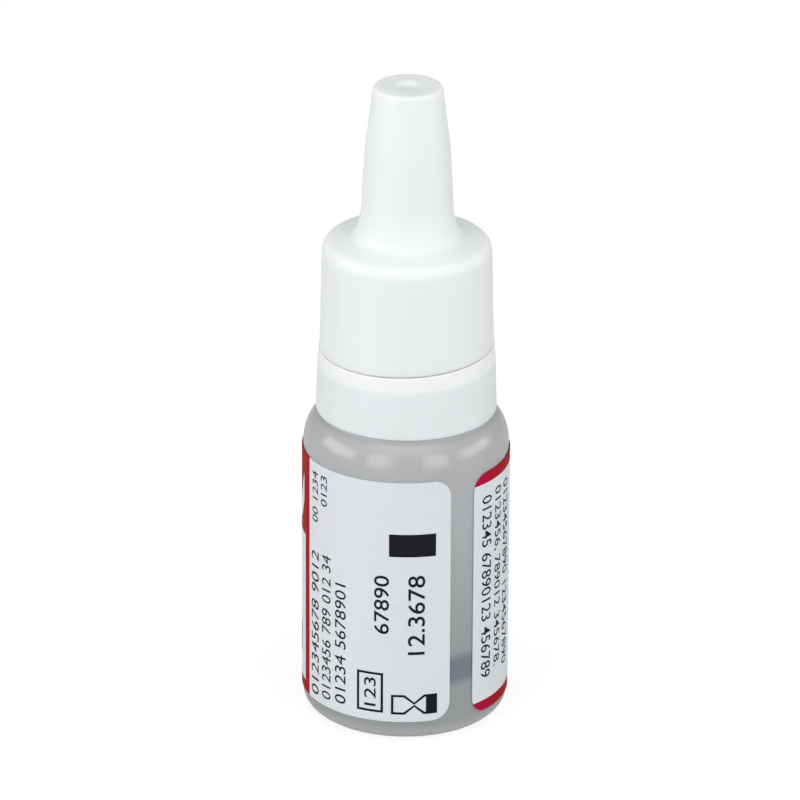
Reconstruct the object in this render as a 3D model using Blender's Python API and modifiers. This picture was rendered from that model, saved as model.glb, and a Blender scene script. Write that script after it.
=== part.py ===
"""Ear drop bottle: squeeze bottle, press-in dropper, screw cap, tamper ring and wrap label.

Metres, +Z up. The origin is the centre of the standing ring, on the surface that the bottle stands on.
Every height is stacked up from there: bottle side, shoulder, tamper ring, cap skirt, dome, cone, tip.
"""

from math import cos, radians, sin, tau

import bmesh
import bpy
from mathutils import Matrix

# Running gap between two pieces that rest on each other, and the share of it within which points are welded.
SEAT_GAP = 0.0003
WELD_SHARE = 0.01

# Bottle body: outer radius and walls, the pushed-up base and the rounded shoulder.
BODY_RADIUS = 0.0116
BODY_WALL = 0.001
FLOOR_THICKNESS = 0.001
HEEL_RADIUS = 0.0019
INNER_HEEL_RADIUS = 0.0009
STANDING_RING_WIDTH = 0.0016
PUSH_UP_HEIGHT = 0.0009
SIDE_HEIGHT = 0.0324
SHOULDER_HEIGHT = 0.00405
SHOULDER_LAND = 0.0011
INNER_LAND = 0.0006

# Neck: the tube that carries the thread, the bead that holds the tamper ring, and the rim.
NECK_RADIUS = 0.0072
NECK_WALL = 0.00165
NECK_FILLET = 0.0006
BEAD_CATCH = 0.00045
BEAD_LAND = 0.00065
BEAD_RAMP = 0.001
RIM_CHAMFER = 0.0003
RIM_LAND = 0.0012

# Thread, the same round section outside the neck and inside the skirt, half a pitch apart.
THREAD_PITCH = 0.003
THREAD_HEIGHT_SHARE = 0.233
THREAD_CLEARANCE = 0.00035
THREAD_LEAD = 0.0016
THREAD_FADE = 0.004
THREAD_END_SHARE = 0.25
CAP_THREAD_SHARE = 0.55

# Tamper ring: its drafted outer side, the lip that catches under the bead, and the bridges.
RING_HEIGHT = 0.00735
RING_WALL = 0.00153
RING_DRAFT = 0.00019
RING_BEVEL_HEIGHT = 0.0015
RING_BEVEL_DEPTH = 0.00011
RING_EDGE = 0.0002
RING_CLEARANCE = 0.0004
LIP_THICKNESS = 0.001
LIP_CLEARANCE = 0.0006
LIP_RAMP = 0.0005
LIP_PLACE_SHARE = 0.36
BREAK_GAP = 0.00035
BRIDGE_CLEARANCE = 0.00015
BRIDGE_WIDTH = 0.0005
BRIDGE_DEPTH = 0.0006
BRIDGE_COUNT = 8
BRIDGE_START = radians(-75)

# Cap: drafted skirt and its roof, the dome's rounding, fall and flare, two-taper cone and dimpled tip.
SKIRT_HEIGHT = 0.01085
ROOF_RISE = 0.00045
SKIRT_WALL = 0.00153
SKIRT_DRAFT = 0.00027
SKIRT_EDGE = 0.0002
DOME_ROUND_DEPTH = 0.0011
DOME_ROUND_HEIGHT = 0.00155
DOME_ROUND_DEGREES = 81
DOME_FALL = 0.0003
FLARE_REACH = 0.00145
FLARE_HEIGHT = 0.00545
FLARE_DEGREES = 87
CONE_ROOT_RADIUS = 0.00506
CONE_WAIST_RADIUS = 0.00475
CONE_TIP_RADIUS = 0.0039
CONE_LOWER_HEIGHT = 0.0052
CONE_UPPER_HEIGHT = 0.0073
CONE_WALL = 0.0011
TIP_ROUND = 0.00025
TIP_WALL = 0.0014
DIMPLE_RADIUS = 0.0017
DIMPLE_DEPTH = 0.00045
PIN_CLEARANCE = 0.00022
PIN_REACH = 0.0012

# Dropper insert: flange on the rim, ridged plug in the neck, and the nozzle with its drip hole.
FLANGE_THICKNESS = 0.0013
FLANGE_INSET = 0.0002
PLUG_GAP = 0.00025
PLUG_WALL = 0.0011
PLUG_LENGTH = 0.0055
PLUG_LEAD = 0.0005
RIDGE_HEIGHT = 0.0001
RIDGE_WIDTH = 0.0006
RIDGE_PLACE_SHARES = (0.35, 0.65)
NOZZLE_ROOM = 0.0005
NOZZLE_WAIST_ROOM = 0.0011
NOZZLE_TIP_ROOM = 0.0009
NOZZLE_END_ROOM = 0.0007
NOZZLE_TIP_ROUND_SHARE = 0.46
NOZZLE_WALL = 0.0009
DRIP_RADIUS = 0.0006
DRIP_LENGTH = 0.0016

# Label: the paper and its glue, the bare margins above the heel and below the shoulder, how much lower
# its right end was stuck, and the gap between its ends.
LABEL_THICKNESS = 0.0001
GLUE_THICKNESS = 0.00005
LABEL_FOOT_MARGIN = 0.00075
LABEL_HEAD_MARGIN = 0.0002
LABEL_SKEW = 0.0005
LABEL_CORNER = 0.0014
LABEL_SLIT_START = radians(-64.4)
LABEL_SLIT_ANGLE = radians(15.2)

# Faceting: steps round a turn, points along a quarter arc, and points along a turn of thread.
TURN_STEPS = 60
ARC_STEPS = 5
THREAD_STEPS = 30
LABEL_STEPS = 60


def clear_scene():
    """Removes whatever the file holds, so that the script can be run again."""
    for obj in list(bpy.data.objects):
        bpy.data.objects.remove(obj, do_unlink=True)
    for collection in list(bpy.data.collections):
        bpy.data.collections.remove(collection)


def new_collection(name):
    collection = bpy.data.collections.new(name)
    bpy.context.scene.collection.children.link(collection)
    return collection


def new_material(name, colour, roughness):
    material = bpy.data.materials.new(name)
    material.use_nodes = True
    shader = material.node_tree.nodes["Principled BSDF"]
    shader.inputs["Base Color"].default_value = (*colour, 1)
    shader.inputs["Roughness"].default_value = roughness
    shader.inputs["Metallic"].default_value = 0
    return material


def arc(centre, radii, start, end, steps=ARC_STEPS):
    """Points (radius, height) of an elliptical arc; angles in degrees from +radius towards +height."""
    angles = [radians(start + (end - start) * i / steps) for i in range(steps + 1)]
    return [(centre[0] + radii[0] * cos(a), centre[1] + radii[1] * sin(a)) for a in angles]


def turned(name, profile, closed, collection, material):
    """A body of revolution about Z. The profile runs down its outer side; a closed one is a ring."""
    mesh = bpy.data.meshes.new(name)
    count = len(profile)
    edges = [(i, i + 1) for i in range(count - 1)]
    if closed:
        edges.append((count - 1, 0))
    mesh.from_pydata([(r, 0, z) for r, z in profile], edges, [])
    obj = bpy.data.objects.new(name, mesh)
    collection.objects.link(obj)
    screw = obj.modifiers.new("turn", "SCREW")
    screw.steps = screw.render_steps = TURN_STEPS
    screw.merge_threshold = WELD_SHARE * SEAT_GAP
    screw.use_merge_vertices = True
    mesh.materials.append(material)
    return obj


def as_mesh(obj, collection):
    """Replaces a curve by the mesh that it draws, with its end caps welded on."""
    graph = bpy.context.evaluated_depsgraph_get()
    mesh = bpy.data.meshes.new_from_object(obj.evaluated_get(graph))
    name, place = obj.name, obj.matrix_world.copy()
    curve = obj.data
    bpy.data.objects.remove(obj)
    bpy.data.curves.remove(curve)
    shape = bmesh.new()
    shape.from_mesh(mesh)
    bmesh.ops.remove_doubles(shape, verts=shape.verts, dist=WELD_SHARE * SEAT_GAP)
    shape.to_mesh(mesh)
    shape.free()
    made = bpy.data.objects.new(name, mesh)
    made.matrix_world = place
    collection.objects.link(made)
    return made


def thread(name, radius, foot, length, collection):
    """A right-hand thread: a round tube on a helix, thinning out at both ends."""
    curve = bpy.data.curves.new(name, "CURVE")
    curve.dimensions = "3D"
    curve.bevel_depth = thread_height
    curve.bevel_resolution = 2
    curve.use_fill_caps = True
    turns = length / THREAD_PITCH
    count = round(turns * THREAD_STEPS) + 1
    path_length = turns * tau * radius
    spline = curve.splines.new("POLY")
    spline.points.add(count - 1)
    for i, point in enumerate(spline.points):
        share = i / (count - 1)
        angle = turns * tau * share
        point.co = (radius * cos(angle), radius * sin(angle), foot + length * share, 1)
        from_end = min(share, 1 - share) * path_length
        point.radius = THREAD_END_SHARE + (1 - THREAD_END_SHARE) * min(1, from_end / THREAD_FADE)
    obj = bpy.data.objects.new(name, curve)
    collection.objects.link(obj)
    bpy.context.view_layer.update()
    return as_mesh(obj, collection)


def join(target, helper):
    """Adds a helper to a piece with an exact Boolean union, and keeps the helper out of renders."""
    helper.hide_render = True
    helper.display_type = "WIRE"
    union = target.modifiers.new(helper.name, "BOOLEAN")
    union.operation = "UNION"
    union.solver = "EXACT"
    union.object = helper


def shade_round(obj):
    """Bakes the modifiers and shades the piece smooth between its real edges."""
    bpy.context.view_layer.update()
    graph = bpy.context.evaluated_depsgraph_get()
    mesh = bpy.data.meshes.new_from_object(obj.evaluated_get(graph))
    obj.modifiers.clear()
    obj.data = mesh
    mesh.name = obj.name
    mesh.shade_smooth()
    mesh.set_sharp_from_angle(angle=radians(30))


# Heights, from the table upwards.
shoulder_z = SIDE_HEIGHT + SHOULDER_HEIGHT
ring_foot_z = shoulder_z + SEAT_GAP
ring_top_z = ring_foot_z + RING_HEIGHT
skirt_foot_z = ring_top_z + BREAK_GAP
skirt_top_z = skirt_foot_z + SKIRT_HEIGHT
dome_top_z = skirt_top_z + DOME_ROUND_HEIGHT + DOME_FALL
cone_root_z = dome_top_z + FLARE_HEIGHT
inner_root_z = cone_root_z - FLARE_HEIGHT / 2
cone_waist_z = cone_root_z + CONE_LOWER_HEIGHT
tip_z = cone_waist_z + CONE_UPPER_HEIGHT
tip_inside_z = tip_z - TIP_WALL
roof_z = skirt_top_z + ROOF_RISE
flange_top_z = roof_z - SEAT_GAP
flange_foot_z = flange_top_z - FLANGE_THICKNESS
rim_z = flange_foot_z - SEAT_GAP
thread_foot_z = skirt_foot_z + THREAD_LEAD
thread_length = rim_z - RIM_LAND - thread_foot_z
lip_foot_z = ring_foot_z + LIP_PLACE_SHARE * RING_HEIGHT
lip_top_z = lip_foot_z + LIP_THICKNESS
bead_foot_z = lip_top_z + SEAT_GAP

# Radii, from the neck outwards.
thread_height = THREAD_HEIGHT_SHARE * THREAD_PITCH
neck_bore_radius = NECK_RADIUS - NECK_WALL
thread_crest_radius = NECK_RADIUS + thread_height
cap_bore_radius = thread_crest_radius + THREAD_CLEARANCE
lip_radius = NECK_RADIUS + LIP_CLEARANCE
bead_radius = lip_radius + BEAD_CATCH
ring_bore_radius = bead_radius + RING_CLEARANCE
ring_foot_radius = ring_bore_radius + RING_WALL
ring_bevel_radius = ring_foot_radius - RING_DRAFT
ring_top_radius = ring_bevel_radius - RING_BEVEL_DEPTH
skirt_foot_radius = cap_bore_radius + SKIRT_WALL
skirt_top_radius = skirt_foot_radius - SKIRT_DRAFT


def make_bottle(parts, helpers, material):
    """The bottle as one shell: up the inside from the floor's centre, over the rim and down the outside."""
    inside_radius = BODY_RADIUS - BODY_WALL
    inner_land_radius = neck_bore_radius + NECK_FILLET + INNER_LAND
    inner_top_z = shoulder_z - BODY_WALL
    floor_z = FLOOR_THICKNESS
    inner_heel = (inside_radius - INNER_HEEL_RADIUS, floor_z + INNER_HEEL_RADIUS)
    stand_radius = BODY_RADIUS - HEEL_RADIUS
    push_up_radius = stand_radius - STANDING_RING_WIDTH
    profile = arc((0, floor_z), (push_up_radius, PUSH_UP_HEIGHT), 90, 0, steps=4)
    profile += arc(inner_heel, (INNER_HEEL_RADIUS, INNER_HEEL_RADIUS), -90, 0, steps=3)
    profile += arc(
        (inner_land_radius, SIDE_HEIGHT),
        (inside_radius - inner_land_radius, inner_top_z - SIDE_HEIGHT),
        0,
        90,
    )
    profile += arc(
        (neck_bore_radius + NECK_FILLET, inner_top_z + NECK_FILLET),
        (NECK_FILLET, NECK_FILLET),
        -90,
        -180,
        steps=2,
    )
    profile += [
        (neck_bore_radius, rim_z - RIM_CHAMFER),
        (neck_bore_radius + RIM_CHAMFER, rim_z),
        (NECK_RADIUS - RIM_CHAMFER, rim_z),
        (NECK_RADIUS, rim_z - RIM_CHAMFER),
        (NECK_RADIUS, bead_foot_z + BEAD_LAND + BEAD_RAMP),
        (bead_radius, bead_foot_z + BEAD_LAND),
        (bead_radius, bead_foot_z),
        (NECK_RADIUS, bead_foot_z),
    ]
    profile += arc(
        (NECK_RADIUS + NECK_FILLET, shoulder_z + NECK_FILLET), (NECK_FILLET, NECK_FILLET), 180, 270, steps=2
    )
    land_radius = NECK_RADIUS + NECK_FILLET + SHOULDER_LAND
    profile += arc(
        (land_radius, SIDE_HEIGHT), (BODY_RADIUS - land_radius, SHOULDER_HEIGHT), 90, 0, steps=ARC_STEPS + 1
    )
    profile += arc((stand_radius, HEEL_RADIUS), (HEEL_RADIUS, HEEL_RADIUS), 0, -90)
    profile += arc((0, 0), (push_up_radius, PUSH_UP_HEIGHT), 0, 90, steps=4)
    bottle = turned("bottle", profile, False, parts, material)
    join(bottle, thread("neck_thread", NECK_RADIUS, thread_foot_z, thread_length, helpers))
    return bottle


def make_tamper_ring(parts, helpers, material):
    """The ring round the neck, with the stubs of its bridges standing on its top face."""
    profile = [
        (ring_top_radius - RING_EDGE, ring_top_z),
        (ring_top_radius, ring_top_z - RING_EDGE),
        (ring_bevel_radius, ring_top_z - RING_BEVEL_HEIGHT),
        (ring_foot_radius, ring_foot_z + RING_EDGE),
        (ring_foot_radius - RING_EDGE, ring_foot_z),
        (ring_bore_radius + RING_EDGE, ring_foot_z),
        (ring_bore_radius, ring_foot_z + RING_EDGE),
        (ring_bore_radius, lip_foot_z),
        (lip_radius, lip_foot_z + LIP_RAMP),
        (lip_radius, lip_top_z),
        (ring_bore_radius, lip_top_z),
        (ring_bore_radius, ring_top_z),
    ]
    ring = turned("tamper_ring", profile, True, parts, material)
    mesh = bpy.data.meshes.new("bridges")
    shape = bmesh.new()
    bridge_radius = (ring_bore_radius + ring_top_radius) / 2
    bridge_height = BREAK_GAP - BRIDGE_CLEARANCE
    bridge_size = (BRIDGE_DEPTH, BRIDGE_WIDTH, 2 * bridge_height)
    for i in range(BRIDGE_COUNT):
        turn = Matrix.Rotation(BRIDGE_START + tau * i / BRIDGE_COUNT, 4, "Z")
        place = turn @ Matrix.Translation((bridge_radius, 0, ring_top_z)) @ Matrix.Diagonal((*bridge_size, 1))
        bmesh.ops.create_cube(shape, size=1, matrix=place)
    shape.to_mesh(mesh)
    shape.free()
    bridges = bpy.data.objects.new("bridges", mesh)
    helpers.objects.link(bridges)
    join(ring, bridges)
    return ring


def make_screw_cap(parts, helpers, material):
    """The cap from the middle of its tip, down the outside, and up the inside to the end of the pin."""
    flare = (FLARE_REACH, FLARE_HEIGHT)
    dome_round = (DOME_ROUND_DEPTH, DOME_ROUND_HEIGHT)
    flare_end = 180 + FLARE_DEGREES
    pin_radius = DRIP_RADIUS - PIN_CLEARANCE
    pin_end_z = tip_inside_z - NOZZLE_END_ROOM - PIN_REACH
    profile = [(0, tip_z - DIMPLE_DEPTH), (DIMPLE_RADIUS / 2, tip_z - DIMPLE_DEPTH), (DIMPLE_RADIUS, tip_z)]
    profile += arc((CONE_TIP_RADIUS - TIP_ROUND, tip_z - TIP_ROUND), (TIP_ROUND, TIP_ROUND), 90, 0, steps=3)
    profile += [(CONE_WAIST_RADIUS, cone_waist_z)]
    profile += arc((CONE_ROOT_RADIUS + FLARE_REACH, cone_root_z), flare, 180, flare_end, steps=ARC_STEPS + 1)
    profile += arc((skirt_top_radius - DOME_ROUND_DEPTH, skirt_top_z), dome_round, DOME_ROUND_DEGREES, 0)
    profile += [
        (skirt_foot_radius, skirt_foot_z + SKIRT_EDGE),
        (skirt_foot_radius - SKIRT_EDGE, skirt_foot_z),
        (cap_bore_radius + SKIRT_EDGE, skirt_foot_z),
        (cap_bore_radius, skirt_foot_z + SKIRT_EDGE),
        (cap_bore_radius, roof_z),
        (CONE_ROOT_RADIUS, roof_z),
        (CONE_ROOT_RADIUS - CONE_WALL, inner_root_z),
        (CONE_WAIST_RADIUS - CONE_WALL, cone_waist_z),
        (CONE_TIP_RADIUS - CONE_WALL, tip_inside_z),
        (pin_radius, tip_inside_z),
        (pin_radius, pin_end_z + pin_radius),
        (0, pin_end_z),
    ]
    cap = turned("screw_cap", profile, False, parts, material)
    cap_thread_foot = thread_foot_z + THREAD_PITCH / 2
    cap_thread_length = CAP_THREAD_SHARE * thread_length
    join(cap, thread("cap_thread", cap_bore_radius, cap_thread_foot, cap_thread_length, helpers))
    return cap


def make_dropper_insert(parts, material):
    """The insert as a ring: from the drip hole's mouth down the outside, and up through the bore."""
    end_z = tip_inside_z - NOZZLE_END_ROOM
    end_radius = CONE_TIP_RADIUS - CONE_WALL - NOZZLE_TIP_ROOM
    end_round = NOZZLE_TIP_ROUND_SHARE * (end_radius - DRIP_RADIUS)
    waist_radius = CONE_WAIST_RADIUS - CONE_WALL - NOZZLE_WAIST_ROOM
    root_radius = CONE_ROOT_RADIUS - CONE_WALL - NOZZLE_ROOM
    foot_radius = CONE_ROOT_RADIUS - NOZZLE_ROOM
    plug_radius = neck_bore_radius - PLUG_GAP
    plug_foot_z = flange_foot_z - PLUG_LENGTH
    plug_bore_radius = plug_radius - PLUG_WALL
    profile = [(DRIP_RADIUS, end_z)]
    profile += arc((end_radius - end_round, end_z - end_round), (end_round, end_round), 90, 0, steps=3)
    profile += [
        (waist_radius, cone_waist_z),
        (root_radius, inner_root_z),
        (foot_radius, flange_top_z),
        (NECK_RADIUS - FLANGE_INSET, flange_top_z),
        (NECK_RADIUS - FLANGE_INSET, flange_foot_z),
        (plug_radius, flange_foot_z),
    ]
    for share in RIDGE_PLACE_SHARES:
        ridge_z = flange_foot_z - share * PLUG_LENGTH
        profile += [
            (plug_radius, ridge_z + RIDGE_WIDTH / 2),
            (plug_radius + RIDGE_HEIGHT, ridge_z),
            (plug_radius, ridge_z - RIDGE_WIDTH / 2),
        ]
    profile += [
        (plug_radius, plug_foot_z + PLUG_LEAD),
        (plug_radius - PLUG_LEAD / 2, plug_foot_z),
        (plug_bore_radius, plug_foot_z),
        (plug_bore_radius, flange_foot_z),
        (root_radius - NOZZLE_WALL, inner_root_z),
        (waist_radius - NOZZLE_WALL, cone_waist_z),
        (end_radius - NOZZLE_WALL, end_z - DRIP_LENGTH - NOZZLE_WALL),
        (DRIP_RADIUS, end_z - DRIP_LENGTH),
    ]
    return turned("dropper_insert", profile, True, parts, material)


def make_label(parts, material):
    """A flat grid wrapped round the side, its end columns shortened along the corner arcs, then thickened."""
    radius = BODY_RADIUS + GLUE_THICKNESS
    length = (tau - LABEL_SLIT_ANGLE) * radius
    foot_z = HEEL_RADIUS + LABEL_FOOT_MARGIN
    head_z = SIDE_HEIGHT - LABEL_HEAD_MARGIN
    corner = [radians(90 * i / ARC_STEPS) for i in range(ARC_STEPS)]
    ends = [(LABEL_CORNER * (1 - cos(a)), LABEL_CORNER * (1 - sin(a))) for a in corner]
    straight = length - 2 * LABEL_CORNER
    columns = ends + [(LABEL_CORNER + straight * i / LABEL_STEPS, 0) for i in range(LABEL_STEPS + 1)]
    columns += [(length - along, cut) for along, cut in reversed(ends)]
    shape = bmesh.new()
    bmesh.ops.create_grid(shape, x_segments=len(columns) - 1, y_segments=1, size=1)
    start = LABEL_SLIT_START + LABEL_SLIT_ANGLE
    for vertex in shape.verts:
        along, cut = columns[round((vertex.co.x + 1) / 2 * (len(columns) - 1))]
        angle = start + along / radius
        drop = LABEL_SKEW * (1 - along / length)
        height = foot_z + cut if vertex.co.y < 0 else head_z - cut
        vertex.co = (radius * cos(angle), radius * sin(angle), height - drop)
    bmesh.ops.recalc_face_normals(shape, faces=shape.faces)
    mesh = bpy.data.meshes.new("label")
    shape.to_mesh(mesh)
    shape.free()
    mesh.materials.append(material)
    label = bpy.data.objects.new("label", mesh)
    parts.objects.link(label)
    paper = label.modifiers.new("paper", "SOLIDIFY")
    paper.thickness = LABEL_THICKNESS
    paper.offset = 1
    return label


def main():
    clear_scene()
    parts = new_collection("ear_drop_bottle")
    helpers = new_collection("joined_helpers")
    natural = new_material("natural_polyethylene", (0.42, 0.43, 0.44), 0.4)
    white = new_material("white_polyethylene", (0.80, 0.81, 0.81), 0.35)
    milky = new_material("milky_polyethylene", (0.68, 0.69, 0.69), 0.4)
    paper = new_material("white_label", (0.72, 0.74, 0.77), 0.45)
    pieces = [
        make_bottle(parts, helpers, natural),
        make_dropper_insert(parts, milky),
        make_tamper_ring(parts, helpers, white),
        make_screw_cap(parts, helpers, white),
        make_label(parts, paper),
    ]
    for piece in pieces:
        shade_round(piece)


main()
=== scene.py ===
"""Ear drop bottle: the full detail of its bottle, dropper, tamper ring, screw cap, label and print.

Metres, +Z up. The pieces' azimuths are measured round Z from +X, and their side at -90 degrees faces the
camera.
"""

import bmesh
import bpy
import numpy as np
from mathutils import Matrix, Vector


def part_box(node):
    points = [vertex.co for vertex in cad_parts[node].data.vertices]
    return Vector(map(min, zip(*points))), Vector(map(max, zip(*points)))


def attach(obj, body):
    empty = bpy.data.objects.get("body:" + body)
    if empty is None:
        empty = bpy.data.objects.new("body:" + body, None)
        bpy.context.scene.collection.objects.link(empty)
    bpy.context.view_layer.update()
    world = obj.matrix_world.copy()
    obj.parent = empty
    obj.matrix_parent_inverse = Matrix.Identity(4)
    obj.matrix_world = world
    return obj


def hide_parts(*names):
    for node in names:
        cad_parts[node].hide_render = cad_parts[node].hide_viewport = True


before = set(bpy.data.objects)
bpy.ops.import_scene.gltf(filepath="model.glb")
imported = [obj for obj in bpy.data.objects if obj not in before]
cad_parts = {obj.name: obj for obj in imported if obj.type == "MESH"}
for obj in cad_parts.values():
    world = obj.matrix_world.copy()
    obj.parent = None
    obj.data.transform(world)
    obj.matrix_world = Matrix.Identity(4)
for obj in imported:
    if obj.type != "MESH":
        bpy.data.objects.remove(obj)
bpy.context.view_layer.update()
scene = bpy.context.scene

# Bottle: a 10 ml squeeze bottle, blow-moulded in natural low-density polyethylene, cloudy grey and waxy.
# Its neck, with the screw thread and the bead that holds the tamper ring, was formed in the same mould. The
# mould pinched the tube shut under the base, which left a low seam across the pushed-up floor.
mm = 0.001
bottle_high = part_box("bottle")[1]
body_radius = bottle_high.x
rim_z = bottle_high.z
body_wall = 1.0 * mm
floor_thickness = 1.0 * mm
heel = 1.9 * mm
inner_heel = 0.9 * mm
standing_width = 1.6 * mm
push_up = 0.9 * mm
side_z = 32.4 * mm
shoulder_height = 4.05 * mm
shoulder_land = 1.1 * mm
inner_land = 0.6 * mm
neck_radius = 7.2 * mm
neck_bore = 5.55 * mm
neck_fillet = 0.6 * mm
bead_radius = 8.25 * mm
bead_foot = 40.7 * mm
bead_land = 0.65 * mm
bead_ramp = 1.0 * mm
bead_edge = 0.12 * mm
bead_round = (bead_edge, bead_edge)
bead_slope = 45
rim_round = 0.3 * mm
thread_foot = 46.05 * mm
thread_length = 6.6 * mm
thread_pitch = 3.0 * mm
thread_height = 0.7 * mm
thread_half_width = 0.85 * mm
thread_fade = 4.0 * mm
thread_fullness = 0.7
thread_step = 0.13 * mm
seam_height = 0.12 * mm
seam_half_width = 0.3 * mm
seam_fade_share = 0.25
profile_step = 0.6 * mm
weld_distance = 0.0001 * mm
sharp_angle = np.radians(32)
turn_steps = 192
turn = np.linspace(0, 2 * np.pi, turn_steps + 1)[None, :]


def arc(centre, radii, start, end, steps=12):
    """Points of an ellipse: radius = centre + radii[0] cos t and height = centre + radii[1] sin t, with t
    from start to end in degrees."""
    t = np.radians(np.linspace(start, end, steps + 1))
    return np.stack([centre[0] + radii[0] * np.cos(t), centre[1] + radii[1] * np.sin(t)], axis=1)


def outline(*parts, step=profile_step):
    """Joins points and arcs into one profile of (radius, height), and divides every run longer than step
    into even parts."""
    points = np.concatenate([np.atleast_2d(part) for part in parts])
    shares = [np.arange(n) / n for n in np.ceil(np.hypot(*np.diff(points, axis=0).T) / step).clip(1)]
    first = np.repeat(np.arange(len(shares)), [len(share) for share in shares])
    share = np.concatenate(shares)[:, None]
    return np.concatenate([points[first] * (1 - share) + points[first + 1] * share, points[-1:]])


def skin(name, points, across, up):
    """A mesh over a grid of points: each four neighbours make a face, and points that meet at a pole or a
    seam are merged. across and up, in metres, become its UV map."""
    index = np.arange(points[..., 0].size).reshape(points.shape[:2])
    corners = np.stack([index[:-1, :-1], index[1:, :-1], index[1:, 1:], index[:-1, 1:]], axis=-1)
    corners = corners.reshape(-1, 4)
    mesh = bpy.data.meshes.new(name)
    mesh.from_pydata(points.reshape(-1, 3).tolist(), [], corners.tolist())
    flat = np.stack(np.broadcast_arrays(across, up), axis=-1).reshape(-1, 2)
    mesh.uv_layers.new(name="surface").data.foreach_set("uv", flat[corners].ravel())
    merged = bmesh.new()
    merged.from_mesh(mesh)
    bmesh.ops.remove_doubles(merged, verts=merged.verts, dist=weld_distance)
    merged.to_mesh(mesh)
    merged.free()
    mesh.shade_smooth()
    mesh.set_sharp_from_angle(angle=sharp_angle)
    made = bpy.data.objects.new(name, mesh)
    scene.collection.objects.link(made)
    return made


def turned(name, profile, swell=0, lift=0):
    """A profile turned about Z: at row i and angle a the point is (r cos a, r sin a, z), with r = radius +
    swell and z = height + lift. The profile runs down the outer side, so that the faces point outwards."""
    radius, height, angle = np.broadcast_arrays(profile[:, :1] + swell, profile[:, 1:] + lift, turn)
    points = np.stack([radius * np.cos(angle), radius * np.sin(angle), height], axis=-1)
    return skin(name, points, angle * profile[:, 0].max(), profile[:, 1:])


def thread_relief(height, foot, length):
    """Height of a right-hand thread over a wall. The nearest turn lies at foot + pitch (a / full turn + k),
    its section is a raised cosine to the power thread_fullness, and the thread fades in and out over
    thread_fade along the helix."""
    turns = length / thread_pitch
    along = np.round((height - foot) / thread_pitch - turn / (2 * np.pi)) + turn / (2 * np.pi)
    across = np.abs(height - foot - thread_pitch * along) / thread_half_width
    section = (0.5 + 0.5 * np.cos(np.pi * across.clip(0, 1))) ** thread_fullness
    from_end = np.minimum(along, turns - along) * 2 * np.pi * neck_radius
    return thread_height * section * np.sin(np.pi / 2 * (from_end / thread_fade).clip(0, 1))


inside_radius = body_radius - body_wall
shoulder_z = side_z + shoulder_height
inner_top = shoulder_z - body_wall
inner_land_radius = neck_bore + neck_fillet + inner_land
land_radius = neck_radius + neck_fillet + shoulder_land
stand_radius = body_radius - heel
push_up_radius = stand_radius - standing_width
bottle_profile = outline(
    arc((0, floor_thickness), (push_up_radius, push_up), 90, 0),
    arc((inside_radius - inner_heel, floor_thickness + inner_heel), (inner_heel, inner_heel), -90, 0, 6),
    arc((inner_land_radius, side_z), (inside_radius - inner_land_radius, inner_top - side_z), 0, 90),
    arc((neck_bore + neck_fillet, inner_top + neck_fillet), (neck_fillet, neck_fillet), 270, 180, 5),
    arc((neck_bore + rim_round, rim_z - rim_round), (rim_round, rim_round), 180, 90, 4),
    arc((neck_radius - rim_round, rim_z - rim_round), (rim_round, rim_round), 90, 0, 4),
    outline(
        (neck_radius, rim_z - rim_round),
        (neck_radius, bead_foot + bead_land + bead_ramp),
        step=thread_step,
    ),
    arc((bead_radius - bead_edge, bead_foot + bead_land - bead_edge), bead_round, bead_slope, 0, 3),
    arc((bead_radius - bead_edge, bead_foot + bead_edge), bead_round, 0, -90, 4),
    (neck_radius, bead_foot),
    arc((neck_radius + neck_fillet, shoulder_z + neck_fillet), (neck_fillet, neck_fillet), 180, 270, 6),
    arc((land_radius, side_z), (body_radius - land_radius, shoulder_height), 90, 0, 24),
    arc((stand_radius, heel), (heel, heel), 0, -90),
    arc((0, 0), (push_up_radius, push_up), 0, 90, 16),
)
on_neck = np.isclose(bottle_profile[:, :1], neck_radius) & (bottle_profile[:, 1:] > bead_foot + bead_land)
on_base = bottle_profile[:, 1:] < floor_thickness
from_seam = bottle_profile[:, :1] * np.sin(turn) / seam_half_width
seam_end = ((1 - bottle_profile[:, :1] / push_up_radius) / seam_fade_share).clip(0, 1)
bottle = turned(
    "moulded_bottle",
    bottle_profile,
    swell=on_neck * thread_relief(bottle_profile[:, 1:], thread_foot, thread_length),
    lift=on_base * -seam_height * seam_end * np.exp(-(from_seam**2)),
)


class Socket:
    """One output of a node. Python's operators on it, with a number or an output, add Math nodes."""

    def __init__(self, finish, output):
        self.finish, self.output = finish, output

    def __add__(self, other):
        return self.finish.maths("ADD", self, other)

    def __sub__(self, other):
        return self.finish.maths("SUBTRACT", self, other)

    def __rsub__(self, other):
        return self.finish.maths("SUBTRACT", other, self)

    def __mul__(self, other):
        return self.finish.maths("MULTIPLY", self, other)

    def __gt__(self, other):
        return self.finish.maths("GREATER_THAN", self, other)

    def __lt__(self, other):
        return self.finish.maths("LESS_THAN", self, other)

    __radd__ = __add__
    __rmul__ = __mul__


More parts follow.
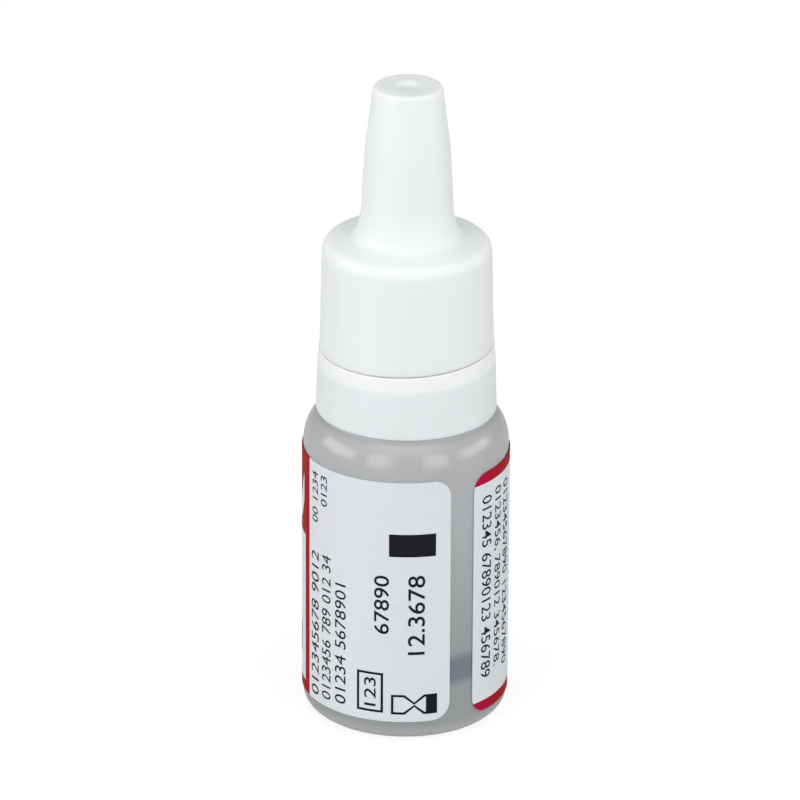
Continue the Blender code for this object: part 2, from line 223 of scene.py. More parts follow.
class Finish:
    """A procedural surface: a node tree whose nodes all come from node()."""

    def __init__(self, owner):
        owner.use_nodes = True
        self.owner, self.tree = owner, owner.node_tree

    def node(self, kind, settings=None, inputs=None, output=0):
        """Adds a node of that type, or takes the tree's own one, sets its settings and then its sockets."""
        made = self.tree.nodes.get(kind) or self.tree.nodes.new(kind)
        for name, value in (settings or {}).items():
            setattr(made, name, value)
        for name, value in (inputs or {}).items():
            if isinstance(value, Socket):
                self.tree.links.new(value.output, made.inputs[name])
            else:
                made.inputs[name].default_value = value
        return Socket(self, made.outputs[output]) if made.outputs else None

    def maths(self, operation, first, second):
        """A Math node that works on two numbers or outputs."""
        return self.node("ShaderNodeMath", {"operation": operation}, {0: first, 1: second})

    def place(self, output="Object"):
        """Where a point lies in the object's own space, or in its UV map."""
        return self.node("ShaderNodeTexCoord", output=output)

    def axis(self, vector, name):
        """The X, Y or Z part of a vector."""
        return self.node("ShaderNodeSeparateXYZ", inputs={"Vector": vector}, output=name)

    def noise(self, place, stretch, scale, detail=3.0):
        """Noise from 0 to 1 with features of 1 / scale metres, longer where an axis's stretch is small."""
        mapped = self.node("ShaderNodeMapping", inputs={"Vector": place, "Scale": stretch})
        return self.node("ShaderNodeTexNoise", inputs={"Vector": mapped, "Scale": scale, "Detail": detail})

    def ramp(self, value, low, high):
        """Rises smoothly from 0 where value is low to 1 where it is high."""
        ends = {"Value": value, "From Min": low, "From Max": high}
        return self.node("ShaderNodeMapRange", {"interpolation_type": "SMOOTHSTEP"}, ends)

    def mix(self, share, first, second):
        """first where share is 0, second where it is 1, as colours."""
        return self.node("ShaderNodeMix", {"data_type": "RGBA"}, {0: share, 6: first, 7: second}, 2)

    def tint(self, colour, brightness):
        """A colour times a brightness that varies."""
        grey = self.node("ShaderNodeCombineXYZ", inputs={0: brightness, 1: brightness, 2: brightness})
        return self.node("ShaderNodeVectorMath", {"operation": "MULTIPLY"}, {0: colour, 1: grey})

    def bump(self, height, depth):
        """A relief of that depth in metres, from a height of 0 to 1."""
        return self.node("ShaderNodeBump", inputs={"Height": height, "Distance": depth, "Strength": 1.0})

    def surface(self, **sockets):
        """Sets the Principled shader's sockets; an underscore stands for a space in their names."""
        named = {name.replace("_", " "): value for name, value in sockets.items()}
        self.node("Principled BSDF", inputs=named)
        return self.owner


polyethylene_ior = 1.51
low_grey, high_grey = (0.298, 0.310, 0.312, 1), (0.405, 0.412, 0.418, 1)
grey_rise = (8 * mm, 30 * mm)
# Painted shade: a soft dark band low on the bottle stands in for the label's navy print on the far side,
# seen through both walls.
painted_see_through_grey, band_share = (0.150, 0.170, 0.206, 1), 0.9
band_foot, band_head = (6.0 * mm, 7.6 * mm), (9.2 * mm, 10.9 * mm)
# Painted light: the heel is painted paler, standing in for light thrown up from the table.
painted_heel_light, heel_rise = (0.46, 0.46, 0.46, 1), (2.2 * mm, 0.7 * mm)
# Painted light: a near-white rim on the shoulder just under the tamper ring, in place of the shade the ring
# casts there.
painted_collar_light, collar_rise = (0.95, 0.95, 0.97, 1), (36.05 * mm, 36.5 * mm)
neck_grey, neck_rise = (0.52, 0.53, 0.54, 1), (36.42 * mm, 36.5 * mm)

natural = Finish(bpy.data.materials.new("cloudy_polyethylene"))
z = natural.axis(natural.place(), "Z")
cloud = natural.noise(natural.place(), stretch=(1, 1, 0.5), scale=260)
ripple = natural.noise(natural.place(), stretch=(1, 1, 0.35), scale=900, detail=2)
shaded = natural.mix(natural.ramp(z, *grey_rise), low_grey, high_grey)
painted_see_through_mask = natural.ramp(z, *band_foot) * (1 - natural.ramp(z, *band_head))
shaded = natural.mix(painted_see_through_mask * band_share, shaded, painted_see_through_grey)
# The heel and the rim under the ring take painted light here; the neck takes its own paler grey.
for rise, colour in [(heel_rise, painted_heel_light), (collar_rise, painted_collar_light), (neck_rise, neck_grey)]:
    shaded = natural.mix(natural.ramp(z, *rise), shaded, colour)
bottle.data.materials.append(
    natural.surface(
        Base_Color=natural.tint(shaded, 0.95 + cloud * 0.1),
        Roughness=0.17 + cloud * 0.06,
        Normal=natural.bump(ripple, depth=0.03 * mm),
        Subsurface_Weight=0.15,
        Subsurface_Radius=(1.0, 1.0, 1.0),
        Subsurface_Scale=0.8 * mm,
        IOR=polyethylene_ior,
    )
)
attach(bottle, "bottle_body")
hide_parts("bottle")

# Dropper: a milky polyethylene plug, pressed into the neck until its flange meets the rim. Two ridges hold
# it there, and its long tapered nozzle ends in a round lip with the drip hole.
flange_foot = 54.15 * mm
flange_top = 55.45 * mm
flange_radius = 7.0 * mm
flange_round = 0.2 * mm
plug_radius = 5.3 * mm
plug_bore = 4.2 * mm
plug_foot = 48.65 * mm
plug_lead = 0.5 * mm
ridge_height = 0.1 * mm
ridge_width = 0.6 * mm
ridge_shares = (0.35, 0.65)
nozzle_foot = 4.56 * mm
nozzle_root = (3.46 * mm, 59.875 * mm)
nozzle_waist = (2.55 * mm, 67.8 * mm)
nozzle_end = (1.9 * mm, 73.0 * mm)
nozzle_wall = 0.9 * mm
drip_radius = 0.6 * mm
drip_length = 1.6 * mm
lip_round = 0.6 * mm


def ridge(share):
    """A shallow ridge round the plug, a share of its length below the flange: a triangle's three points."""
    middle = flange_foot - share * (flange_foot - plug_foot)
    half = ridge_width / 2
    crest = plug_radius + ridge_height
    return [(plug_radius, middle + half), (crest, middle), (plug_radius, middle - half)]


insert_profile = outline(
    (drip_radius, nozzle_end[1]),
    arc((nozzle_end[0] - lip_round, nozzle_end[1] - lip_round), (lip_round, lip_round), 90, 0, 8),
    nozzle_waist,
    nozzle_root,
    (nozzle_foot, flange_top),
    arc((flange_radius - flange_round, flange_top - flange_round), (flange_round, flange_round), 90, 0, 4),
    (flange_radius, flange_foot),
    (plug_radius, flange_foot),
    *(ridge(share) for share in ridge_shares),
    (plug_radius, plug_foot + plug_lead),
    (plug_radius - plug_lead / 2, plug_foot),
    (plug_bore, plug_foot),
    (plug_bore, flange_foot),
    (nozzle_root[0] - nozzle_wall, nozzle_root[1]),
    (nozzle_waist[0] - nozzle_wall, nozzle_waist[1]),
    (nozzle_end[0] - nozzle_wall, nozzle_end[1] - drip_length - nozzle_wall),
    (drip_radius, nozzle_end[1] - drip_length),
    (drip_radius, nozzle_end[1]),
)
insert = turned("dropper_nozzle", insert_profile)
milky = Finish(bpy.data.materials.new("milky_polyethylene"))
haze = milky.noise(milky.place(), stretch=(1, 1, 0.3), scale=400)
insert.data.materials.append(
    milky.surface(
        Base_Color=milky.tint((0.72, 0.74, 0.74), 0.96 + haze * 0.08),
        Roughness=0.3 + haze * 0.1,
        Normal=milky.bump(haze, depth=0.01 * mm),
        Subsurface_Weight=0.4,
        Subsurface_Radius=(1.0, 1.0, 0.95),
        Subsurface_Scale=1.2 * mm,
        IOR=polyethylene_ior,
    )
)
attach(insert, "bottle_body")
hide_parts("dropper_insert")

# Tamper ring: the white band under the cap, moulded with it and snapped over the neck's bead, which its
# inner lip catches. Eight short bridges stand on its top edge. The parting line to the cap was cut on a
# slant. A paler band along its thin top edge is a painted highlight, standing in for the light it catches.
ring_low, ring_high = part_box("tamper_ring")
skirt_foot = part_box("screw_cap")[0].z
parting = 0.08 * mm
parting_swing = 0.04 * mm
parting_azimuth = np.radians(-50)
ring_drop = 0.12 * mm
ring_foot = ring_low.z - ring_drop
ring_radius = ring_high.x
ring_top = skirt_foot - parting
ring_bore = 8.65 * mm
ring_bevel_height = 1.7 * mm
ring_bevel = (9.99 * mm, ring_top - ring_bevel_height)
ring_top_radius = 9.88 * mm
ring_edge = 0.12 * mm
lip_radius = 7.8 * mm
lip_z = (39.4 * mm, 40.4 * mm)
lip_ramp = 0.5 * mm
slant = 0.35 * mm
slant_azimuth = np.radians(30)
slant_sag = 0.18 * mm
bridges = 8
bridge_start = np.radians(-75)
bridge_depth = 0.3 * mm
bridge_width = 0.2 * mm
bridge_share = 0.9
highlight_height = 1.85 * mm
highlight_fade = 0.4 * mm

ring_profile = outline(
    arc((ring_top_radius - ring_edge, ring_top - ring_edge), (ring_edge, ring_edge), 90, 0, 5),
    ring_bevel,
    arc((ring_radius - ring_edge, ring_foot + ring_edge), (ring_edge, ring_edge), 0, -90, 5),
    arc((ring_bore + ring_edge, ring_foot + ring_edge), (ring_edge, ring_edge), 270, 180, 5),
    (ring_bore, lip_z[0]),
    (lip_radius, lip_z[0] + lip_ramp),
    (lip_radius, lip_z[1]),
    (ring_bore, lip_z[1]),
    (ring_bore, ring_top),
    (ring_top_radius - ring_edge, ring_top),
)


def slanted(azimuth):
    """How far the slanted parting line stands above its level: slant cos(azimuth - slant_azimuth) - sag."""
    return slant * np.cos(azimuth - slant_azimuth) - slant_sag


def gap_width(azimuth):
    """Width of the gap along that line: parting + swing cos(azimuth - parting_azimuth)."""
    return parting + parting_swing * np.cos(azimuth - parting_azimuth)


ring_rise = ((ring_profile[:, 1:] - ring_foot) / (ring_top - ring_foot)).clip(0, 1)
ring = turned("tamper_band", ring_profile, lift=ring_rise * slanted(turn))


def root(wave):
    """The square root of a wave's size, with the wave's own sign."""
    return np.sign(wave) * np.abs(wave) ** 0.5


def pad(centre, size, azimuth):
    """A small rounded block, a superellipsoid of power 4: each axis is size times the roots of the sine or
    cosine of latitude and longitude, turned to its azimuth and moved to centre."""
    across, up = np.meshgrid(np.linspace(0, 2 * np.pi, 17), np.linspace(np.pi / 2, -np.pi / 2, 9))
    x = size[0] * root(np.cos(up)) * root(np.cos(across))
    y = size[1] * root(np.cos(up)) * root(np.sin(across))
    z = size[2] * root(np.sin(up))
    c, s = np.cos(azimuth), np.sin(azimuth)
    return np.stack([centre[0] + x * c - y * s, centre[1] + x * s + y * c, centre[2] + z], axis=-1)


white = Finish(bpy.data.materials.new("white_band"))
flow = white.noise(white.place(), stretch=(1, 1, 0.12), scale=330)
grain = white.noise(white.place(), stretch=(1, 1, 1), scale=1500, detail=2)
# Painted highlight: the band's colour turns paler towards its top edge.
highlight_foot = ring_top - highlight_height
painted_highlight = white.ramp(white.axis(white.place("UV"), "Y"), highlight_foot - highlight_fade, highlight_foot + highlight_fade)
band_white, painted_highlight_white = (0.74, 0.77, 0.78, 1), (0.83, 0.845, 0.845, 1)
band_colour = white.mix(painted_highlight, band_white, painted_highlight_white)
ring.data.materials.append(
    white.surface(
        Base_Color=white.tint(band_colour, 0.975 + flow * 0.05),
        Roughness=0.42 + flow * 0.08,
        Normal=white.bump(grain, depth=0.006 * mm),
        Subsurface_Weight=0.35,
        Subsurface_Radius=(1.0, 1.0, 1.0),
        Subsurface_Scale=1.0 * mm,
        IOR=polyethylene_ior,
    )
)
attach(ring, "ring_body")
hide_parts("tamper_ring")
for number, azimuth in enumerate(bridge_start + np.arange(bridges) * 2 * np.pi / bridges):
    radius = ring_top_radius - ring_edge - bridge_depth
    centre = (radius * np.cos(azimuth), radius * np.sin(azimuth), ring_top + slanted(azimuth))
    stub_points = pad(centre, (bridge_depth, bridge_width, bridge_share * gap_width(azimuth)), azimuth)
    stub = skin(f"bridge_{number + 1}", stub_points, 0, stub_points[..., 2])
    stub.data.materials.append(white.owner)
    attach(stub, "ring_body")

# Screw cap: white polyethylene, one moulding with a smooth drafted skirt, a low dome that flares up into a
# long cone in two tapers, and a flat dimpled end. Its thread runs inside the skirt, and a pin inside the
# end closes the drip hole. It screws onto the neck above the tamper ring.
cap_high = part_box("screw_cap")[1]
tip_z = cap_high.z
skirt_radius = cap_high.x
skirt_height = 10.85 * mm
skirt_top = skirt_foot + skirt_height
skirt_draft = 0.27 * mm
skirt_top_radius = skirt_radius - skirt_draft
skirt_edge = 0.12 * mm
dome_round = (1.1 * mm, 1.55 * mm)
dome_round_degrees = 81
flare = (1.45 * mm, 5.45 * mm)
flare_degrees = 87
root_height = 18.15 * mm
cone_root = (5.06 * mm, skirt_foot + root_height)
waist_height = 23.35 * mm
cone_waist = (4.75 * mm, skirt_foot + waist_height)
roof_height = 11.3 * mm
roof_z = skirt_foot + roof_height
cone_wall = 1.1 * mm
tip_radius = 3.9 * mm
tip_round = (0.6 * mm, 0.4 * mm)
tip_draft_degrees = 4
tip_wall = 1.4 * mm
dimple_radius = 1.7 * mm
dimple_depth = 0.45 * mm
dimple_fullness = 1.6
cap_bore = 8.25 * mm
pin_radius = 0.38 * mm
pin_end = 71.8 * mm
cap_thread_foot = thread_foot + thread_pitch / 2
cap_thread_length = 3.63 * mm

dimple_reach = np.linspace(0, dimple_radius, 12)
dimple_wave = np.cos(np.pi * (dimple_reach / dimple_radius) ** dimple_fullness)
dimple = tip_z - dimple_depth * (0.5 + 0.5 * dimple_wave)
tip_inside = tip_z - tip_wall
cap_profile = outline(
    np.stack([dimple_reach, dimple], axis=1),
    arc((tip_radius - tip_round[0], tip_z - tip_round[1]), tip_round, 90, tip_draft_degrees, 10),
    cone_waist,
    arc((cone_root[0] + flare[0], cone_root[1]), flare, 180, 180 + flare_degrees, 24),
    arc((skirt_top_radius - dome_round[0], skirt_top), dome_round, dome_round_degrees, 0, 16),
    arc((skirt_radius - skirt_edge, skirt_foot + skirt_edge), (skirt_edge, skirt_edge), 0, -90, 5),
    arc((cap_bore + skirt_edge, skirt_foot + skirt_edge), (skirt_edge, skirt_edge), 270, 180, 5),
    outline((cap_bore, skirt_foot + skirt_edge), (cap_bore, roof_z), step=thread_step),
    (cone_root[0], roof_z),
    (cone_root[0] - cone_wall, cone_root[1] - flare[1] / 2),
    (cone_waist[0] - cone_wall, cone_waist[1]),
    (tip_radius - cone_wall, tip_inside),
    (pin_radius, tip_inside),
    arc((0, pin_end + pin_radius), (pin_radius, pin_radius), 0, -90, 5),
)
in_bore = np.isclose(cap_profile[:, :1], cap_bore)
skirt_drop = ((skirt_top - cap_profile[:, 1:]) / (skirt_top - skirt_foot)).clip(0, 1)
cap = turned(
    "cone_cap",
    cap_profile,
    swell=in_bore * -thread_relief(cap_profile[:, 1:], cap_thread_foot, cap_thread_length),
    lift=skirt_drop * (slanted(turn) + gap_width(turn) - parting),
)
cap_white = Finish(bpy.data.materials.new("white_cap"))
cap_flow = cap_white.noise(cap_white.place(), stretch=(1, 1, 0.1), scale=330)
cap_grain = cap_white.noise(cap_white.place(), stretch=(1, 1, 1), scale=1500, detail=2)
cap.data.materials.append(
    cap_white.surface(
        Base_Color=cap_white.tint((0.785, 0.805, 0.805), 0.975 + cap_flow * 0.05),
        Roughness=0.46 + cap_flow * 0.08,
        Normal=cap_white.bump(cap_grain, depth=0.006 * mm),
        Specular_IOR_Level=0.35,
        Subsurface_Weight=0.4,
        Subsurface_Radius=(1.0, 1.0, 1.0),
        Subsurface_Scale=1.2 * mm,
        IOR=polyethylene_ior,
    )
)
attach(cap, "cap_body")
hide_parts("screw_cap")

# Label: one strip of coated paper, glued round the side with a gap between its rounded ends. Its right end
# was stuck half a millimetre lower. Red frames, a red heading with white stripes and a navy field are
# printed on it.
label_foot = 2.65 * mm
label_head = 32.2 * mm
label_skew = 0.5 * mm
label_corner = 2.1 * mm
label_radius = 11.75 * mm
paper_thickness = 0.1 * mm
slit_start = np.radians(-64.4)
slit_angle = np.radians(15.2)
label_length = (2 * np.pi - slit_angle) * label_radius
slit_width = slit_angle * label_radius
corner_steps = 9
length_steps = 300
height_steps = 40

end_columns = label_corner * (1 - np.cos(np.linspace(0, np.pi / 2, corner_steps + 1)))
between_ends = np.linspace(label_corner, label_length - label_corner, length_steps + 1)[1:-1]
columns = np.concatenate([end_columns, between_ends, label_length - end_columns[::-1]])[None, :]
near_end = (1 - np.minimum(columns, label_length - columns) / label_corner).clip(0, 1)
cut = label_corner * (1 - np.sqrt(1 - near_end**2))
drop = label_skew * (1 - columns / label_length)
rows = np.linspace(1, 0, height_steps + 1)[:, None]
label_z = label_foot + cut - drop + rows * (label_head - label_foot - 2 * cut)
label_azimuth = slit_start + slit_angle + columns / label_radius
label_x, label_y = label_radius * np.cos(label_azimuth), label_radius * np.sin(label_azimuth)
label_points = np.stack(np.broadcast_arrays(label_x, label_y, label_z), axis=-1)
label = skin("wrap_label", label_points, columns + slit_width, label_z)
edge_of_corner = np.empty(len(label.data.loops), int)
label.data.loops.foreach_get("edge_index", edge_of_corner)
cut_edge = np.bincount(edge_of_corner, minlength=len(label.data.edges)) == 1
label.data.edges.foreach_set("use_edge_sharp", cut_edge)
paper_body = label.modifiers.new("paper", "SOLIDIFY")
paper_body.thickness = paper_thickness
paper_body.offset = -1
paper_body.use_even_offset = True

paper = Finish(bpy.data.materials.new("printed_paper"))
x = paper.axis(paper.place("UV"), "X")
z = paper.axis(paper.place("UV"), "Y")


def within(value, low, high):
    """1 where value lies between low and high, else 0."""
    return (value > low) * (value < high)


frame_width = 1.3 * mm
heading = (22.6 * mm, 53.75 * mm)
heading_foot = 22.0 * mm
edge_band = (53.45 * mm, 54.83 * mm)
stripe_pitch = 4.4 * mm
stripe_share = 0.35
stripe_slope = 0.45
stripe_margins = (2.0 * mm, 0.9 * mm)
stripe_foot_margin = 1.6 * mm
stripe_head = 29.6 * mm
navy_end = 51.6 * mm
navy_z = (6.6 * mm, 10.4 * mm)
magenta_reach = 6.0 * mm
deep_red, magenta_red = (0.32, 0.001, 0.003, 1), (0.42, 0.001, 0.045, 1)
paper_white, navy = (0.685, 0.715, 0.74), (0.020, 0.040, 0.130, 1)

head_line = label_head - label_skew * (1 - (x - slit_width) * (1 / label_length))
foot_line = head_line - (label_head - label_foot)
framed = x < edge_band[1]
red_area = framed * (z > head_line - frame_width)
red_area = paper.maths("MAXIMUM", red_area, framed * (z < foot_line + frame_width))
red_area = paper.maths("MAXIMUM", red_area, within(x, *edge_band))
red_area = paper.maths("MAXIMUM", red_area, within(x, *heading) * (z > heading_foot))
across_stripes = paper.maths("MODULO", x - z * stripe_slope, stripe_pitch)
striped = within(x, heading[0] + stripe_margins[0], heading[1] - stripe_margins[1])
stripes = (across_stripes < stripe_pitch * stripe_share) * striped
stripes = stripes * within(z, heading_foot + stripe_foot_margin, stripe_head)
navy_area = within(x, heading[0], navy_end) * within(z, *navy_z)
magenta = 1 - paper.ramp(x, slit_width, slit_width + magenta_reach)
red = paper.mix(magenta, deep_red, magenta_red)
fibre = paper.noise(paper.place(), stretch=(1, 1, 1), scale=1400, detail=4)
blank = paper.tint(paper_white, 0.97 + fibre * 0.06)
printed = paper.mix(red_area * (1 - stripes), blank, red)
printed = paper.mix(navy_area, printed, navy)
label.data.materials.append(
    paper.surface(
        Base_Color=printed,
        Roughness=0.46 + fibre * 0.1,
        Normal=paper.bump(fibre, depth=0.008 * mm),
        Specular_IOR_Level=0.08,
        IOR=1.45,
    )
)
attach(label, "bottle_body")
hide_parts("label")

# Print: black ink on the label, a film too thin to feel, with rows of plain figures, a black field, an
# hourglass sign and a framed figure. Places are in millimetres, up from the table and round the label from
# the left side of its gap, or for the right rows from the right side.
ink_sink = 0.005 * mm
ink_radius = label_radius - ink_sink
ink_thickness = 0.02 * mm
ink_reach = (-50 * mm, 12 * mm)
ink_step = 0.3 * mm
cut_tolerance = 1e-8
least_width = 1e-9
line_width = 0.28


def flat_mesh(curve):
    """The filled faces of a flat curve or a text, as a mesh in the XY plane."""
    drawn = bpy.data.objects.new("drawn", curve)
    scene.collection.objects.link(drawn)
    bpy.context.view_layer.update()
    mesh = bpy.data.meshes.new_from_object(drawn.evaluated_get(bpy.context.evaluated_depsgraph_get()))
    bpy.data.objects.remove(drawn)
    return mesh


def figures(text, weight):
    """A row of plain figures in the built-in font, its strokes made thicker or thinner by weight."""
    curve = bpy.data.curves.new("figures", "FONT")
    curve.body = text
    curve.offset = weight
    curve.resolution_u = 5
    return flat_mesh(curve)


def area(*rings):
    """A flat area bounded by closed rings of (x, z); a ring inside another is a hole."""
    curve = bpy.data.curves.new("area", "CURVE")
    curve.dimensions = "2D"
    curve.fill_mode = "BOTH"
    for ring_points in rings:
        spline = curve.splines.new("POLY")
        spline.points.add(len(ring_points) - 1)
        spline.points.foreach_set("co", np.pad(np.array(ring_points, float), ((0, 0), (0, 2))).ravel())
        spline.use_cyclic_u = True
    return flat_mesh(curve)


def box_ring(low, high, inset=0.0):
    """The corners of the box from low to high, moved inwards by inset."""
    (a, b), (c, d) = (low[0] + inset, low[1] + inset), (high[0] - inset, high[1] - inset)
    return [(a, b), (c, b), (c, d), (a, d)]


def fitted(mesh, low, high, reading):
    """Stretches a flat mesh over the box from low to high: level, or reading up or down the bottle."""
    co = np.empty(len(mesh.vertices) * 3)
    mesh.vertices.foreach_get("co", co)
    co = co.reshape(-1, 3)
    share = (co - co.min(0)) / np.ptp(co, axis=0).clip(least_width)
    if reading == "up":
        share = np.stack([1 - share[:, 1], share[:, 0]], axis=1)
    elif reading == "down":
        share = np.stack([share[:, 1], 1 - share[:, 0]], axis=1)
    flat = np.array(low) + share[:, :2] * (np.array(high) - np.array(low))
    mesh.vertices.foreach_set("co", np.pad(flat * mm, ((0, 0), (0, 1))).ravel())
    return mesh


left_rows = [
    ("67890", 0.006, (-8.80, 13.5), (-7.06, 20.7)),
    ("12.3678", 0.006, (-4.92, 11.0), (-2.98, 20.8)),
    ("123", 0.003, (-9.95, 4.35), (-8.55, 7.9)),
    ("00 1234", 0.0, (-18.15, 24.8), (-16.95, 31.0)),
    ("0123", 0.0, (-16.35, 27.3), (-15.25, 31.0)),
    ("012345678 9012", 0.0, (-18.35, 3.3), (-16.75, 21.2)),
    ("0123456 789 012 34", 0.0, (-16.1, 3.5), (-14.6, 21.4)),
    ("01234 5678901", 0.0, (-13.9, 3.7), (-12.35, 18.6)),
]
right_rows = [
    ("012345 67890123 456789", 0.003, (1.3, 6.2), (2.95, 28.8)),
    ("0123456, 789012 345678.", 0.003, (3.5, 6.9), (5.05, 29.2)),
    ("01234567890 1234567890", 0.003, (5.8, 6.2), (7.35, 29.2)),
]
back_rows = [
    ("10", 0.02, (-40.5, 12.6), (-33.5, 19.6)),
    ("01234 56789", 0.0, (-48.2, 4.2), (-39.4, 5.7)),
    ("0123 456 789", 0.0, (-37.6, 4.2), (-28.0, 5.7)),
]
field_low, field_high = (-7.10, 23.12), (-1.78, 25.88)
tag_low, tag_high = (-10.84, 3.65), (-7.70, 8.6)
glass_low, glass_high = (-6.79, 3.55), (-1.52, 6.0)
glass_bulb = 1.55
glass_neck = 0.28
bulb_inset_share = 0.4
sand_width = 1.3
sand_low = (glass_high[0] - sand_width, glass_low[1])


def glass_ring(inset):
    """The hourglass's outline on its side, inset by a line's width: two bulbs that narrow to the waist."""
    (a, b), (c, d) = glass_low, glass_high
    waist, middle = (a + c) / 2, (b + d) / 2
    corner, neck = glass_bulb - inset * bulb_inset_share, glass_neck - inset
    top, foot = d - inset, b + inset
    left, right = a + inset, c - inset
    upper = [(right, top), (c - corner, top), (waist, middle + neck), (a + corner, top), (left, top)]
    lower = [(left, foot), (a + corner, foot), (waist, middle - neck), (c - corner, foot), (right, foot)]
    return upper + lower


def printed_rows(rows_of_figures, reading, shift=0.0):
    """Each row of figures, stretched over its box, which is moved by shift round the label."""
    return [
        fitted(figures(text, weight), (low[0] + shift, low[1]), (high[0] + shift, high[1]), reading)
        for text, weight, low, high in rows_of_figures
    ]


signs = [
    ([box_ring(field_low, field_high)], field_low, field_high),
    ([box_ring(tag_low, tag_high), box_ring(tag_low, tag_high, line_width)], tag_low, tag_high),
    ([glass_ring(0.0), glass_ring(line_width)], glass_low, glass_high),
    ([box_ring(sand_low, glass_high)], sand_low, glass_high),
]
marks = printed_rows(left_rows, "up")
marks += printed_rows(right_rows, "down", slit_width / mm)
marks += printed_rows(back_rows, "level")
marks += [fitted(area(*rings), low, high, "level") for rings, low, high in signs]

ink_shape = bmesh.new()
for mark in marks:
    ink_shape.from_mesh(mark)
for place in np.arange(*ink_reach, ink_step):
    plane = {"plane_co": (place, 0, 0), "plane_no": (1, 0, 0)}
    whole = ink_shape.verts[:] + ink_shape.edges[:] + ink_shape.faces[:]
    bmesh.ops.bisect_plane(ink_shape, geom=whole, dist=cut_tolerance, **plane)
ink_mesh = bpy.data.meshes.new("label_print")
ink_shape.to_mesh(ink_mesh)
ink_shape.free()
flat_ink = np.empty(len(ink_mesh.vertices) * 3)
ink_mesh.vertices.foreach_get("co", flat_ink)
round_label, up_label = flat_ink.reshape(-1, 3)[:, 0], flat_ink.reshape(-1, 3)[:, 1]
azimuth = slit_start + round_label / label_radius
bent = np.stack([ink_radius * np.cos(azimuth), ink_radius * np.sin(azimuth), up_label], axis=1)
ink_mesh.vertices.foreach_set("co", bent.ravel())
ink_mesh.update()
ink = bpy.data.objects.new("label_print", ink_mesh)
scene.collection.objects.link(ink)
film = ink.modifiers.new("film", "SOLIDIFY")
film.thickness = ink_thickness
film.offset = 1
black = Finish(bpy.data.materials.new("black_ink"))
speckle = black.noise(black.place(), stretch=(1, 1, 1), scale=2500, detail=3)
ink.data.materials.append(
    black.surface(
        Base_Color=black.mix(speckle, (0.004, 0.0035, 0.006, 1), (0.008, 0.007, 0.010, 1)),
        Roughness=0.42 + speckle * 0.12,
        Specular_IOR_Level=0.15,
    )
)
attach(ink, "bottle_body")

# Table: a pale matt board under the bottle. The camera sees it white, it keeps the bottle's soft shadow,
# and from below it is clear and lets light through.
table_reach = 4.0
board_white, board_grey = (0.9, 0.9, 0.9, 1), (0.6, 0.6, 0.6, 1)
board_glow = 1.06
glow_share = 0.8
gloss_share = 0.1
table_x, table_y = np.meshgrid([-table_reach, table_reach], [table_reach, -table_reach])
table = skin("table", np.stack([table_x, table_y, 0 * table_x], axis=-1), table_x, table_y)
board = Finish(bpy.data.materials.new("pale_board"))


def seen(finish):
    """1 for rays that show the background itself, less for the faint gloss of plastic and paper, else 0."""
    kinds = ("Camera", "Transmission", "Glossy")
    direct, clear, gloss = (finish.node("ShaderNodeLightPath", output=f"Is {kind} Ray") for kind in kinds)
    return direct + clear + gloss * gloss_share


shown = seen(board)
board_colour = board.mix(shown, board_grey, board_white)
matt = board.node("ShaderNodeBsdfDiffuse", inputs={"Color": board_colour})
lit = board.node("ShaderNodeEmission", inputs={"Strength": board_glow})
faced = board.node("ShaderNodeMixShader", inputs={0: shown * glow_share, 1: matt, 2: lit})
below = board.node("ShaderNodeBsdfTransparent")
behind = board.node("ShaderNodeNewGeometry", output="Backfacing")
two_sided = board.node("ShaderNodeMixShader", inputs={0: behind, 1: faced, 2: below})
board.node("Material Output", inputs={"Surface": two_sided})
table.data.materials.append(board.owner)
table.visible_shadow = False

# Room and lamps: an even fill and soft boxes round the table, each placed by where it is seen from the
# bottle. Their reflections are the four soft patches on its shoulder and the bright front of the dome. A
# weak box lights the back, and a small one lights the base through the board.
room = Finish(bpy.data.worlds.new("room"))
scene.world = room.owner
fill = 0.24
lamp_distance = 0.7
room.node("Background", inputs={"Color": (1, 1, 1, 1), "Strength": fill + seen(room) * (1 - fill)})
lamp_centre = Vector((0, 0, 45 * mm))


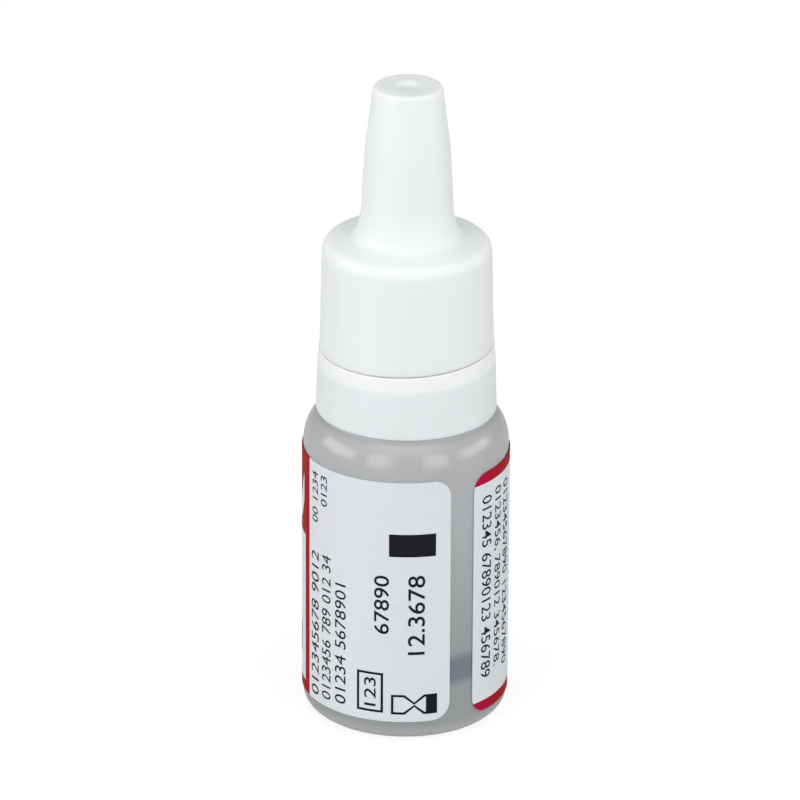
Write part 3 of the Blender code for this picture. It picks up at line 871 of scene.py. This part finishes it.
def soft_box(name, azimuth, elevation, width, height, radiance, distance=lamp_distance):
    """An area lamp in that direction, in degrees with azimuth 0 towards the camera and 90 to +X. Its sides
    are 2 d tan(angle / 2), and its power is radiance times pi times its area."""
    a, e = np.radians(azimuth), np.radians(elevation)
    away = Vector((np.sin(a) * np.cos(e), -np.cos(a) * np.cos(e), np.sin(e)))
    lamp = bpy.data.lights.new(name, "AREA")
    lamp.shape = "RECTANGLE"
    lamp.size = 2 * distance * np.tan(np.radians(width) / 2)
    lamp.size_y = 2 * distance * np.tan(np.radians(height) / 2)
    lamp.energy = radiance * np.pi * lamp.size * lamp.size_y
    holder = bpy.data.objects.new(name, lamp)
    holder.location = lamp_centre + away * distance
    holder.rotation_euler = away.to_track_quat("Z", "Y").to_euler()
    holder.visible_camera = False
    scene.collection.objects.link(holder)
    return holder


soft_box("box_left", -84, 16, 44, 24, 3.6)
soft_box("box_front_left", -30, 17, 24, 34, 3.1)
soft_box("box_front_right", 34, 17, 25, 34, 3.1)
soft_box("box_right", 87, 15, 43, 20, 3.1)
soft_box("box_front_top", 0, 55, 70, 34, 1.0)
soft_box("box_overhead", 0, 88, 50, 50, 1.25)
soft_box("box_under", 0, -90, 15, 15, 2.4, distance=60 * mm).visible_glossy = False
soft_box("box_back", 180, 0, 70, 20, 1.6).visible_glossy = False

# Camera: a long lens from in front and above, turned a third of a degree. Its place, lens and shift frame
# the bottle as in the photograph.
camera_aim = Vector((0, 0, 33.586 * mm))
camera_distance = 802 * mm
look_down = np.radians(23.817)
roll = np.radians(0.334)
lens = bpy.data.cameras.new("camera")
lens.sensor_width = 36
lens.lens = 320.1
lens.shift_x = -0.00766
lens.shift_y = 0.0367
camera = bpy.data.objects.new("camera", lens)
back = Vector((0, -np.cos(look_down), np.sin(look_down)))
camera.matrix_world = (
    Matrix.Translation(camera_aim + back * camera_distance)
    @ Matrix.Rotation(np.pi / 2 - look_down, 4, "X")
    @ Matrix.Rotation(roll, 4, "Z")
)
scene.collection.objects.link(camera)
scene.camera = camera
scene.view_settings.view_transform = "Standard"
